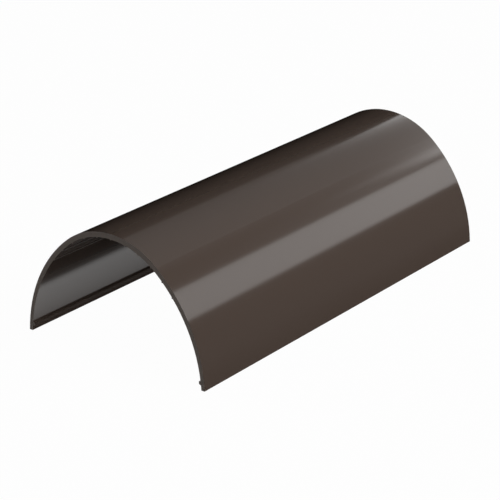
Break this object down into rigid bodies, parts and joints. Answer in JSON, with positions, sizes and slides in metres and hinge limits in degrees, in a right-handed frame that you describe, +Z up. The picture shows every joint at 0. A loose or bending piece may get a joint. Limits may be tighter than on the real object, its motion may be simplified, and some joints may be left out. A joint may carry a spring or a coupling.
{
  "type": "half-round rainwater gutter section",
  "caption": "Short half-round gutter section in brown uPVC, an arched channel with fine inside ribs and a bead along each rim, lying open side down.",
  "frame": {"origin": "middle of the section's length and width, on the plane of its two rims, which is the floor it lies on", "axes": "+X along the stock, from the cut end nearer the camera to the far one; +Z up, towards the outside of the gutter's bottom; Y across, from rim to rim"},
  "size_m": [0.2586, 0.125, 0.0723],
  "materials": {
    "upvc": "gloss"
  },
  "bodies": {
    "root": {"gutter": "upvc"}
  },
  "joints": []
}
